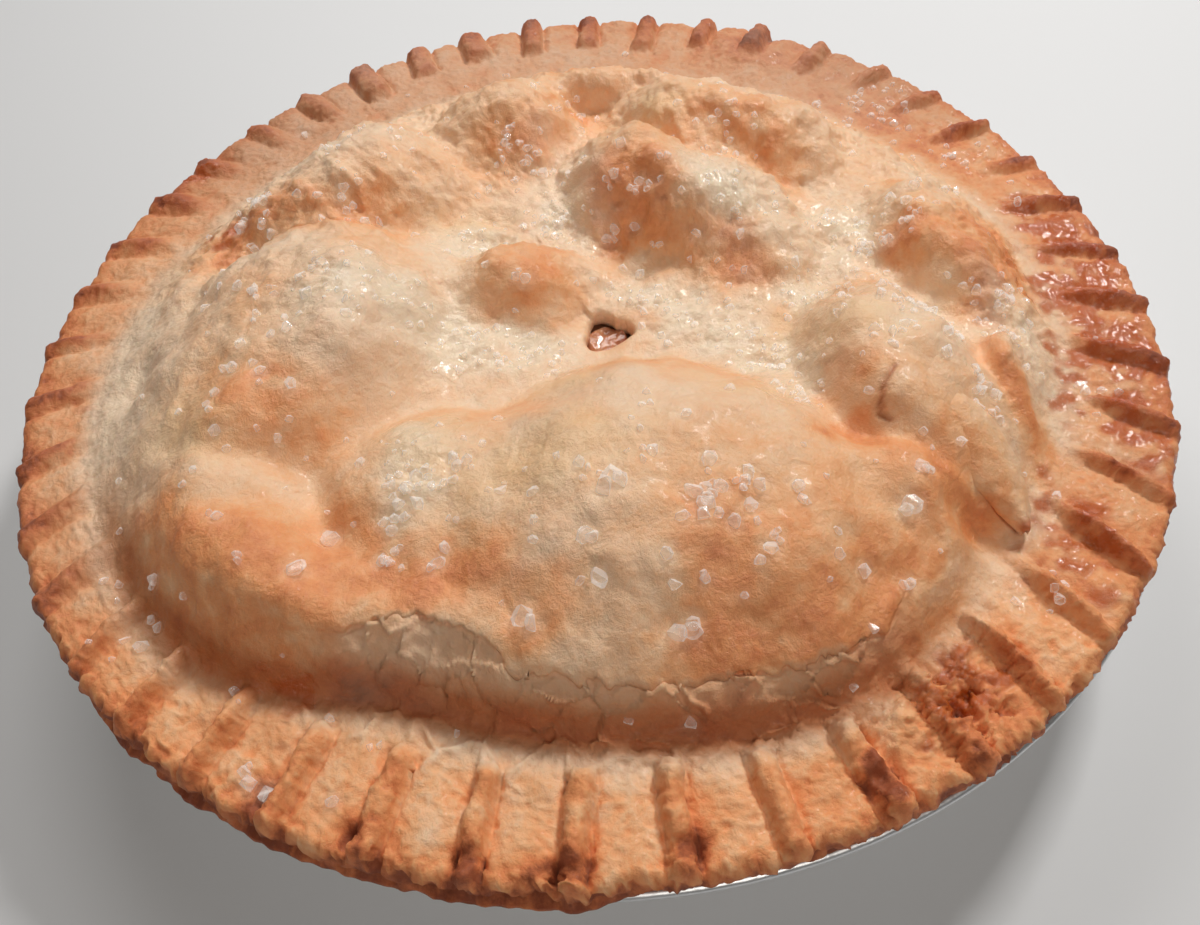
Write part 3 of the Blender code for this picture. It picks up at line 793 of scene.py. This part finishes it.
def rimRings():
    outer, middle, inner, centre = crustAngles()
    edgeLine = circle(outer, pie["rimRadius"])
    start = footRadius(outer) + 1.7
    pulledIn = crust["retreat"] * sector(outer, -62, 0.48, 0.56)
    crimp = crimpShape(*ringPlan(108.0, outer))[1]
    scallop = bySide(outer, 0.3, 0.4, 0.7) * (crimp - 0.45) + 0.5 * grain(edgeLine, 3.0, 63)
    scallop = scallop + bySide(outer, 0.4, 0.2, 0.2) * grain(edgeLine, 1.4, 64) - pulledIn
    end = crust["rimEnd"] + scallop
    rings = []
    for share in np.linspace(0, 1, crust["rimRows"])[1:]:
        rings.append(ring(start + (end - start) * share, crustLevel, outer))
    for reach, drop, share in crust["edge"]:
        crimpLevel = crimpShape(*ringPlan(end + reach, outer))[0]
        rings.append(ring(end + reach, pie["rimLevel"] - drop + share * crimpLevel, outer))
    lip = crust["lip"] * sector(outer, -116, 0.36, 0.47)
    lip = 0.3 + lip * (1 + 0.45 * grain(edgeLine, 5.0, 65)) + 0.5 * grain(edgeLine, 2.0, 66)
    for radius, drop in ((112.4 + lip, 4.3), (112.6 + lip, 4.9), (112.0 + lip * 0.5, 5.2)):
        rings.append(ring(radius - pulledIn, pie["rimLevel"] - drop, outer))
    under = movedProfile(tin["inside"], tin["gap"])
    rings.append(ring(under[-1][0] - 1.0, under[-1][1] + 0.1, middle))
    for r, z in under[-2:1:-1]:
        rings.append(ring(r, z, inner))
    for r, z in under[1::-1]:
        rings.append(ring(r, z, centre))
    return rings


def crustMaterial():
    material, tree, shader = newMaterial("bakedPastry")
    place = placeNode(tree)
    fine = noiseNode(tree, place, 1100, 4, 0.7, 0)
    medium = noiseNode(tree, place, 260, 6, 0.62, 0.4)
    bakeAndShadeLevel = maskNode(tree, "bakeAndShade")
    for noiseFac, share in ((medium, crust["mottle"]), (fine, crust["speckle"])):
        around = mathNode(tree, "MULTIPLY_ADD", noiseFac, share, -share / 2)
        bakeAndShadeLevel = mathNode(tree, "ADD", bakeAndShadeLevel, around)
    colour = rampNode(tree, bakeAndShadeLevel, crust["bakeAndShade"])
    masks = {name: maskNode(tree, name) for name in (*crust["tints"], "dry")}
    for name, (tint, strength) in crust["tints"].items():
        share = mathNode(tree, "MULTIPLY", masks[name], strength)
        colour = mixNode(tree, share, colour, tint, "MULTIPLY" if name == "paintedShade" else "MIX")
    tree.links.new(colour, shader.inputs["Base Color"])
    rough = mathNode(tree, "MULTIPLY_ADD", masks["dry"], crust["dry"], crust["roughness"])
    rough = mathNode(tree, "MULTIPLY_ADD", masks["sugared"], -crust["sugarGloss"], rough)
    wetness = mathNode(tree, "MULTIPLY_ADD", masks["syrup"], -crust["syrupGloss"], 1.0)
    tree.links.new(mathNode(tree, "MULTIPLY", rough, wetness), shader.inputs["Roughness"])
    wet = mathNode(tree, "MULTIPLY_ADD", masks["sugared"], crust["sugarCoat"], crust["coat"])
    wet = mathNode(tree, "MULTIPLY_ADD", masks["syrup"], crust["syrupCoat"], wet)
    tree.links.new(wet, shader.inputs["Coat Weight"])
    shader.inputs["Coat Roughness"].default_value = crust["coatRoughness"]
    shader.inputs["Subsurface Weight"].default_value = crust["glow"]
    shader.inputs["Subsurface Radius"].default_value = crust["glowRadius"]
    shader.inputs["Subsurface Scale"].default_value = crust["glowScale"]
    pores = noiseNode(tree, place, 850, 6, 0.72, 0.3)
    normal = bumpNode(tree, medium, 0.55, 0.0013)
    normal = bumpNode(tree, pores, 0.6, 0.0007, normal)
    tree.links.new(normal, shader.inputs["Normal"])
    return material


def paintCrust(obj, points, normals, crumb, glazed):
    place = points.T
    x, y, z = place
    r, angle = np.hypot(x, y), np.arctan2(y, x)
    foot, torn = footRadius(angle), tornShare(x, y)
    wobbleX, wobbleY = x + 4 * grain(place, 7.0, 71), y + 4 * grain(place, 7.0, 72)
    addMask(obj, "bakeAndShade", bakeAndShadeMask(place, crumb, normals))
    addMask(obj, "paintedShade", paintedShadeMask(place))
    addMask(obj, "floury", torn * (1 - 0.7 * smooth(r, foot - 5, foot - 1)))
    addMask(obj, "paleAndLit", spotSum(wobbleX, wobbleY, paleAndLitSpots))
    addMask(obj, "buttery", spotSum(wobbleX, wobbleY, butterySpots) * (1 - torn))
    sugared = spotSum(wobbleX, wobbleY, sugaredSpots) * (0.85 + 0.8 * grain(place, 6.0, 74))
    addMask(obj, "sugared", sugared * (1 - torn) + 0.35 * glazed)
    syrup = np.clip(spotSum(wobbleX, wobbleY, syrupSpots), 0, 1)
    streaks = 0.62 + 0.9 * grain((x, y * 1.8, z * 1.8), 5.0, 73) + 0.6 * grain(place, 2.2, 75)
    addMask(obj, "syrup", smooth(syrup * streaks, 0.15, 0.80))
    onRim = smooth(r, foot + 2, foot + 8)
    addMask(obj, "dry", np.maximum(torn, onRim * bySide(angle, 1.0, 0.55, 0.6)))
    shakenX, shakenY = wandered(x, y)
    split = 0
    for crack in cracks:
        wide = crack["width"] * 1.5
        split = split + crack["dark"] * lineShare(shakenX, shakenY, crack["line"], wide)
    addMask(obj, "split", split)


def vertexNormals(points, faces):
    mesh = bpy.data.meshes.new("forNormals")
    mesh.from_pydata(points.tolist(), [], faces)
    normals = np.empty(len(points) * 3, np.float32)
    mesh.vertex_normals.foreach_get("vector", normals)
    bpy.data.meshes.remove(mesh)
    return normals.reshape(-1, 3)


flap = dict(
    line=[(57, -38), (61.5, -44), (65, -50), (68, -56), (69.5, -62)],
    halfWidths=[3.2, 5.0, 5.2, 3.8, 0.6], lifts=[-3.0, -0.6, 1.3, 2.7, 2.4],
    thickness=1.4, droop=1.3, steps=64, round=56,
    grain=[(4.0, 0.35, 81), (1.6, 0.2, 82)],        # size, height, seed
)


def makeFlap():
    # tongue of the top crust that has lifted at the right front
    along = np.linspace(0, 1, flap["steps"])
    knots = np.linspace(0, 1, len(flap["line"]))

    def curve(values):
        return np.polyval(np.polyfit(knots, values, 4), along)

    cx, cy = curve([x for x, y in flap["line"]]), curve([y for x, y in flap["line"]])
    half = np.maximum(curve(flap["halfWidths"]), 0.3)
    dx, dy = np.gradient(cx), np.gradient(cy)
    size = np.hypot(dx, dy)
    sideX, sideY = -dy / size, dx / size
    middle = np.convolve(np.pad(crustLevel(cx, cy), 6, mode="edge"), np.ones(13) / 13, mode="valid")
    middle = middle + curve(flap["lifts"])
    rings = []
    turns = evenAngles(flap["round"])
    across, up = np.cos(turns), np.sin(turns)
    crown = up * flap["thickness"] * (0.5 + 0.25 * np.sign(up)) - flap["droop"] * across ** 2
    for k in range(flap["steps"]):
        x, y = cx[k] + sideX[k] * half[k] * across, cy[k] + sideY[k] * half[k] * across
        rings.append(np.stack([x, y, middle[k] + crown], axis=1))
    points, faces = stitch(rings)
    bumps = layered(points.T, flap["grain"])
    return points + vertexNormals(points, faces) * bumps[:, None], faces


def makeCrust():
    top, rim = domeRings(), rimRings()
    points, faces = stitch(top + rim, closeStart=False)
    height, crumb = surfaceRelief(points.T)
    onTop = smooth(points[:, 2], pie["rimLevel"] - 5.2, pie["rimLevel"] - 3.5)     # nothing moves below
    normals = vertexNormals(points, faces)
    points = points + normals * (height * onTop)[:, None]
    grains = placeSugar(points, faces)
    points, glazed = settleAround(points, normals, grains, onTop)
    shared = sum(len(row) for row in top)           # the last ring of the top belongs to both pieces
    first = shared - len(top[-1])
    topFaces = [face for face in faces if max(face) < shared]
    rimFaces = [[i - first for i in face] for face in faces if max(face) >= shared]
    flapPoints, flapFaces = makeFlap()
    nothing = np.zeros(len(flapPoints))
    pieces = dict(
        bakedTop=(topFaces, points[:shared], normals[:shared], crumb[:shared], glazed[:shared]),
        crimpedRim=(rimFaces, points[first:], normals[first:], crumb[first:], glazed[first:]),
        liftedFlap=(flapFaces, flapPoints, vertexNormals(flapPoints, flapFaces), nothing, nothing),
    )
    material = crustMaterial()
    for name, (ownFaces, ownPoints, *paint) in pieces.items():
        obj = newObject(name, bentPoints(ownPoints), ownFaces, material)
        paintCrust(obj, ownPoints, *paint)
        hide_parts("crust")
        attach(obj, "root")
        print(name + ":", len(ownFaces), "faces")
    return grains


# foil tin

tin = dict(
    foil=0.4, gap=0.3, count=352, pleats=88, pleatDepth=0.22, colour=(0.74, 0.75, 0.76),
    inside=[(81.0, 0.4), (84.0, 1.6), (100.4, 28.2), (102.4, 29.4), (111.0, 29.4)],     # radius, height
    beadCentre=(112.2, 28.9), beadRadius=0.9,       # the rolled edge
)


def makeTin():
    angles = evenAngles(tin["count"])
    inside, outside = np.array(tin["inside"]), movedProfile(tin["inside"], -tin["foil"])[::-1]
    profile = list(inside[:2])
    for k in range(1, len(inside) - 1):
        steps = 8 if k == 1 else 3
        profile += [inside[k] + (inside[k + 1] - inside[k]) * s / steps for s in range(1, steps + 1)]
    for degrees in range(140, -120, -26):
        turn = math.radians(degrees)
        bead = np.array([math.cos(turn), math.sin(turn)]) * tin["beadRadius"]
        profile.append(np.array(tin["beadCentre"]) + bead)
    profile += list(outside[:2])
    profile += [outside[2] + (outside[3] - outside[2]) * s / 8 for s in range(9)]
    profile.append(outside[4])
    pleats = tin["pleatDepth"] * np.sin(angles * tin["pleats"])
    rings = []
    for r, z in profile:
        onWall = smooth(z, 2, 8) * (1 - smooth(z, 24, 28))
        rings.append(ring(r + pleats * onWall, z, angles))
    points, faces = stitch(rings)
    material, tree, shader = newMaterial("foil", metallic=1.0)
    shader.inputs["Base Color"].default_value = (*tin["colour"], 1)
    place = placeNode(tree)
    creases = noiseNode(tree, place, 220, 3, 0.5, 0.6)
    tree.links.new(bumpNode(tree, creases, 0.35, 0.0006), shader.inputs["Normal"])
    rough = mathNode(tree, "MULTIPLY_ADD", noiseNode(tree, place, 60, 3, 0.6, 0), 0.3, 0.28)
    tree.links.new(rough, shader.inputs["Roughness"])
    obj = newObject("foilTin", bentPoints(points), faces, material)
    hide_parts("foil_tin")
    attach(obj, "root")
    print("foilTin:", len(faces), "faces")


# apple in the steam hole

apple = dict(
    count=88, depth=3.5, under=5.6, clear=3.6,
    shares=(0.99, 0.93, 0.86, 0.78, 0.7, 0.62, 0.54, 0.46, 0.38, 0.3, 0.22, 0.16, 0.12),
    chunkRadii=(3.7, 3.4, 3.0, 2.5, 2.0, 1.5, 1.0, 0.5),
    colour=[(0.25, (0.30, 0.07, 0.03)), (0.6, (0.55, 0.24, 0.12)), (0.9, (0.72, 0.45, 0.27))],
)


def appleLevel(x, y):
    return pie["rimLevel"] + domeHeight(x, y) - apple["under"]


def chunkLevel(x, y):
    # the piece of apple that shows in the steam hole
    bumps = 0.9 * ripple(x, y, 4.0, 5.1) + 0.4 * ripple(x, y, 1.6, 5.9)
    return appleLevel(x, y) + apple["depth"] + bumps


def makeApple():
    angles = evenAngles(apple["count"])
    wall = movedProfile(tin["inside"], tin["gap"] * 2 + apple["clear"])
    rings = [ring(wall[0][0], wall[0][1], angles), ring(wall[1][0], wall[1][1], angles)]
    rings.append(ring(wall[2][0] - 1.5, pie["rimLevel"] - 6.5, angles))
    foot = footRadius(angles)
    for share in apple["shares"]:
        rings.append(ring(foot * share - 1, appleLevel, angles))
    rings.append(ring(4.6, lambda x, y: appleLevel(x, y) + 0.5, angles))
    for radius in apple["chunkRadii"]:
        rings.append(ring(radius, chunkLevel, angles))
    points, faces = stitch(rings)
    material, tree, shader = newMaterial("cookedApple", 0.16)
    flesh = noiseNode(tree, placeNode(tree), 330, 4, 0.6, 0.8)
    tree.links.new(rampNode(tree, flesh, apple["colour"]), shader.inputs["Base Color"])
    tree.links.new(bumpNode(tree, flesh, 0.5, 0.0008), shader.inputs["Normal"])
    shader.inputs["Coat Weight"].default_value = 0.6
    shader.inputs["Subsurface Weight"].default_value = 0.2
    shader.inputs["Subsurface Scale"].default_value = 0.003
    obj = newObject("appleFilling", bentPoints(points), faces, material)
    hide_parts("apple_filling")
    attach(obj, "root")
    print("appleFilling:", len(faces), "faces")


# coarse sugar

sugar = dict(
    seed=7, shapes=24, corners=22, boxy=0.62, sink=0.04, meniscus=0.16,
    scattered=130, scatteredRadius=100, scatteredSize=(0.9, 2.2),
    valleyGrains=420, valleySize=(0.7, 1.9),
    farthest=109, ventGap=6.5, clearness=(0.10, 0.74),      # opacity straight into a facet and along it
    glow=0.12,                      # painted glow: emission that brightens the shaded sides of each grain
)
# clusters seen in the photo: x, y, spread, how many, size
sugarClusters = [
    (-31, -51, 4, 10, 2.6), (-34, -60, 3, 6, 2.2), (-27, -62, 2, 4, 2.2), (-46, -54, 0.5, 1, 3.4),
    (-49, -62, 0.5, 1, 3.6), (2, -56, 1.2, 3, 3.4), (-3, -66, 1, 2, 3.5), (-2, -72, 0.6, 1, 3.6),
    (11, -79, 1.4, 3, 3.5), (-13, -76, 1, 2, 3.3), (16, -62, 3, 6, 2.8), (22, -60, 2, 4, 2.4),
    (25, -68, 1.5, 3, 2.6), (48, -62, 1, 2, 3.1), (46, -73, 0.8, 2, 3.1), (52, -55, 1.5, 3, 2.8),
    (-24, -45, 1.5, 4, 2.5), (6, -52, 2, 4, 2.2), (9, -43, 3, 4, 1.9), (-12, -47, 5, 4, 1.9),
    (-70, -86, 3, 8, 2.6), (-58, -92, 4, 9, 2.5), (-46, -98, 3, 4, 2.2), (-85, -50, 4, 3, 1.8),
    (95, -31, 2, 4, 2.4), (86, -70, 3, 5, 2.4), (71, -74, 3, 7, 2.2), (-62, -5, 9, 14, 2.3),
    (-70, 34, 8, 26, 2.6), (-48, 32, 8, 14, 2.2), (-42, 44, 10, 16, 1.8), (-12, 44, 6, 30, 2.3),
    (0, 62, 6, 12, 1.9), (36, 40, 9, 26, 1.9), (12, 22, 9, 18, 2.3), (30, 12, 9, 12, 1.9),
    (74, 58, 10, 44, 1.9), (90, 40, 6, 16, 1.9), (66, 8, 7, 22, 2.2), (82, -14, 4, 12, 2.5),
    (56, -22, 8, 26, 2.3), (66, -38, 5, 12, 2.2), (-12, 3, 6, 5, 2.4), (-56, -20, 12, 14, 2.1),
    (20, -63, 8, 12, 2.4), (-4, -61, 7, 8, 2.3), (38, -64, 7, 7, 2.3), (-30, -54, 6, 8, 2.2),
    (-66, -30, 9, 8, 2.2), (-72, -58, 8, 6, 2.3), (14, -76, 5, 5, 2.4), (-88, -66, 5, 6, 2.0),
]


def scatter(draw):
    # plan position and size of each grain
    spots = []
    for x, y, spread, count, size in sugarClusters:
        for _ in range(count):
            away = (draw.gauss(0, spread * 0.7), draw.gauss(0, spread * 0.7))
            spots.append((x + away[0], y + away[1], size * draw.uniform(0.55, 1.1)))
    for _ in range(sugar["scattered"]):
        angle = draw.uniform(0, 2 * math.pi)
        radius = sugar["scatteredRadius"] * math.sqrt(draw.random())
        size = draw.uniform(*sugar["scatteredSize"])
        spots.append((radius * math.cos(angle), radius * math.sin(angle), size))
    for _ in range(sugar["valleyGrains"]):
        cx, cy, length, width, turn = draw.choice(sugaredSpots)
        u, v = draw.gauss(0, length * 0.55), draw.gauss(0, width * 0.55)
        dx, dy = turnedPlan(u, v, -turn)
        spots.append((cx + dx, cy + dy, draw.uniform(*sugar["valleySize"])))
    kept = [spot for spot in spots if math.hypot(*spot[:2]) < sugar["farthest"]]
    return [spot for spot in kept if math.dist(spot[:2], vent["centre"]) > sugar["ventGap"]]


def placeSugar(points, faces):
    # each grain as (point on the crust, normal there, size)
    draw = random.Random(sugar["seed"])
    tree = bvhtree.BVHTree.FromPolygons(points.tolist(), faces)
    grains = []
    for x, y, size in scatter(draw):
        hit, normal, _, _ = tree.ray_cast(Vector((x, y, 90)), Vector((0, 0, -1)))
        if hit is not None:
            grains.append((np.array(hit), np.array(normal), size))
    return grains


def settleAround(points, normals, grains, onTop):
    # the glaze creeps up round each grain; returns the points and how glazed each one is
    tree = kdtree.KDTree(len(grains))
    for k, (at, _, _) in enumerate(grains):
        tree.insert(at, k)
    tree.balance()
    sizes = np.array([size for _, _, size in grains])
    nearest = [tree.find(point)[1:] for point in points.tolist()]
    which = np.array([k for k, _ in nearest])
    away = np.array([distance for _, distance in nearest]) / sizes[which]
    glazed = np.exp(-((away / 0.85) ** 4)) * onTop * smooth(sizes[which], 1.2, 2.4)
    return points + normals * (sugar["meniscus"] * sizes[which] * glazed)[:, None], glazed


def crystalShape(draw):
    # a blunt, uneven crystal: points about the middle, and the triangles of their hull
    body = bmesh.new()
    for _ in range(sugar["corners"]):
        out = Vector([draw.gauss(0, 1) for _ in range(3)]).normalized()
        box = 0.5 / max(abs(out.x), abs(out.y), abs(out.z))
        reach = sugar["boxy"] * box + (1 - sugar["boxy"]) * 0.5
        body.verts.new(out * reach * draw.uniform(0.88, 1.02))
    bmesh.ops.convex_hull(body, input=body.verts)
    bmesh.ops.delete(body, geom=[v for v in body.verts if not v.link_faces], context="VERTS")
    bmesh.ops.recalc_face_normals(body, faces=body.faces)
    body.verts.index_update()
    points = np.array([v.co for v in body.verts])
    faces = [[v.index for v in face.verts] for face in body.faces]
    body.free()
    return points, faces


def sugarMaterial():
    material, tree, shader = newMaterial("clearSugar", 0.07)
    shader.inputs["Base Color"].default_value = (1.0, 0.98, 0.95, 1)
    shader.inputs["IOR"].default_value = 1.6
    # painted glow: a faint emission brightens the grains' shaded sides
    shader.inputs["Emission Color"].default_value = (1.0, 0.95, 0.88, 1)
    shader.inputs["Emission Strength"].default_value = sugar["glow"]
    facing = tree.nodes.new("ShaderNodeLayerWeight")
    facing.inputs["Blend"].default_value = 0.4
    clear = tree.nodes.new("ShaderNodeMapRange")
    clear.inputs["To Min"].default_value, clear.inputs["To Max"].default_value = sugar["clearness"]
    tree.links.new(facing.outputs["Facing"], clear.inputs["Value"])
    tree.links.new(clear.outputs["Result"], shader.inputs["Alpha"])
    return material


def makeSugar(grains):
    draw = random.Random(sugar["seed"] + 1)
    shapes = [crystalShape(draw) for _ in range(sugar["shapes"])]
    allPoints, allFaces, count = [], [], 0
    for at, normal, size in grains:
        points, faces = shapes[draw.randrange(len(shapes))]
        stretch = np.array([draw.uniform(0.75, 1.15) for _ in range(3)])
        spin = np.array(Euler([draw.uniform(0, 6.3) for _ in range(3)]).to_matrix())
        allPoints.append((points * stretch * size) @ spin.T + at + normal * sugar["sink"] * size)
        allFaces += [[count + i for i in face] for face in faces]
        count += len(points)
    obj = newObject("coarseSugar", bentPoints(np.concatenate(allPoints)), allFaces, sugarMaterial())
    obj.data.shade_flat()
    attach(obj, "root")
    print("sugar:", len(grains), "grains")


# table, camera and lights

stage = dict(
    size=3.0, colour=(0.745, 0.75, 0.76), roughness=0.55,
    worldLight=0.075, worldColour=(1.0, 0.95, 0.90),
)
cameraPlace = dict(
    at=(0.0006, -0.148516, 0.182287), turn=(36.6675, 3.4176, -4.7006), lens=29.961, sensor=36.0,
)
lamps = dict(
    backSoftbox=dict(at=(-0.12, 0.60, 0.62), size=0.40, watts=2.4, colour=(1.0, 0.99, 0.97)),
    keyLamp=dict(at=(0.35, 0.36, 0.61), size=0.13, watts=3.3, colour=(1.0, 0.99, 0.97)),
    frontFill=dict(at=(0.12, -0.57, 0.75), size=0.4, watts=2.1, colour=(1.0, 0.94, 0.87)),
)


def makeStage():
    half = stage["size"] / 2
    corners = np.array([(-half, -half, 0), (half, -half, 0), (half, half, 0), (-half, half, 0)])
    material, _, shader = newMaterial("paleTable", stage["roughness"])
    shader.inputs["Base Color"].default_value = (*stage["colour"], 1)
    floor = newObject("tableTop", corners, [(0, 1, 2, 3)], material)
    world = bpy.data.worlds.new("studio")
    world.use_nodes = True
    background = world.node_tree.nodes["Background"]
    background.inputs["Color"].default_value = (*stage["worldColour"], 1)
    background.inputs["Strength"].default_value = stage["worldLight"]
    bpy.context.scene.world = world
    print("tableTop: ready")


def makeLamps():
    for name, lamp in lamps.items():
        light = bpy.data.lights.new(name, "AREA")
        light.energy = lamp["watts"]
        light.size = lamp["size"]
        light.color = lamp["colour"]
        obj = bpy.data.objects.new(name, light)
        obj.location = lamp["at"]
        aim = Vector((0, 0, 0.03)) - Vector(lamp["at"])
        obj.rotation_euler = aim.to_track_quat("-Z", "Y").to_euler()
        bpy.context.scene.collection.objects.link(obj)
    print("lamps:", len(lamps))


def makeCamera():
    data = bpy.data.cameras.new("photoCamera")
    data.lens = cameraPlace["lens"]
    data.sensor_width = cameraPlace["sensor"]
    data.clip_start = 0.01
    obj = bpy.data.objects.new("photoCamera", data)
    obj.location = cameraPlace["at"]
    obj.rotation_euler = [math.radians(a) for a in cameraPlace["turn"]]
    bpy.context.scene.collection.objects.link(obj)
    bpy.context.scene.camera = obj
    print("camera: ready")


makeCamera()
makeStage()
makeLamps()
makeTin()
makeApple()
makeSugar(makeCrust())
bpy.context.scene.view_settings.view_transform = "Standard"
